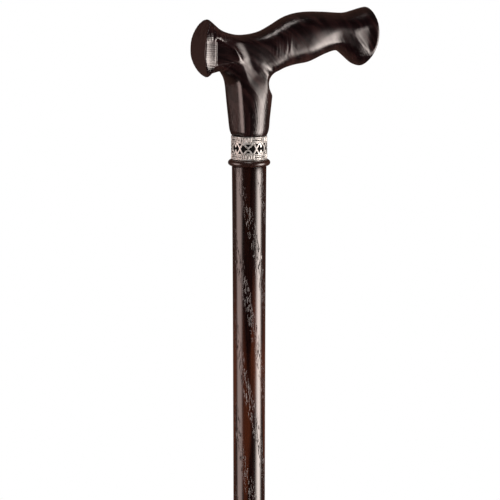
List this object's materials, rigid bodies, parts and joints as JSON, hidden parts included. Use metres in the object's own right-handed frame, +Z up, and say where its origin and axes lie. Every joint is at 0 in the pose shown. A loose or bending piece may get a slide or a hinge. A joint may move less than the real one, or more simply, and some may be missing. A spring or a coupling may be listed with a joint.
{
  "type": "walking cane",
  "caption": "Carved hardwood walking cane with a palm-grip handle, metal collar, turned bead, tapered shaft and pull-off rubber ferrule.",
  "frame": {"origin": "middle of the ferrule's sole, where the cane stands on the floor", "axes": "+Z up along the shaft, -X towards the handle's nose, +X towards its tail, and the XZ plane is the plane of symmetry"},
  "size_m": [0.1118, 0.034, 0.9188],
  "materials": {
    "handle_wood": "near-black carved wood under clear gloss lacquer",
    "shaft_wood": "near-black stained wood with a fine open grain under clear gloss lacquer",
    "bead_wood": "red-brown turned wood under clear gloss lacquer",
    "collar_metal": "polished silver-coloured relief with blackened recesses",
    "steel": "plain zinc-plated steel",
    "rubber": "matt black moulded rubber"
  },
  "bodies": {
    "cane": {"handle": "handle_wood", "handle_stud": "steel", "collar": "collar_metal", "bead_ring": "bead_wood", "shaft": "shaft_wood"},
    "ferrule": {"ferrule": "rubber", "ferrule_washer": "steel"}
  },
  "joints": [
    {"name": "ferrule_pull", "type": "slide", "parent": "cane", "child": "ferrule", "axis": [0, 0, -1], "range_m": [0, 0.04]}
  ]
}
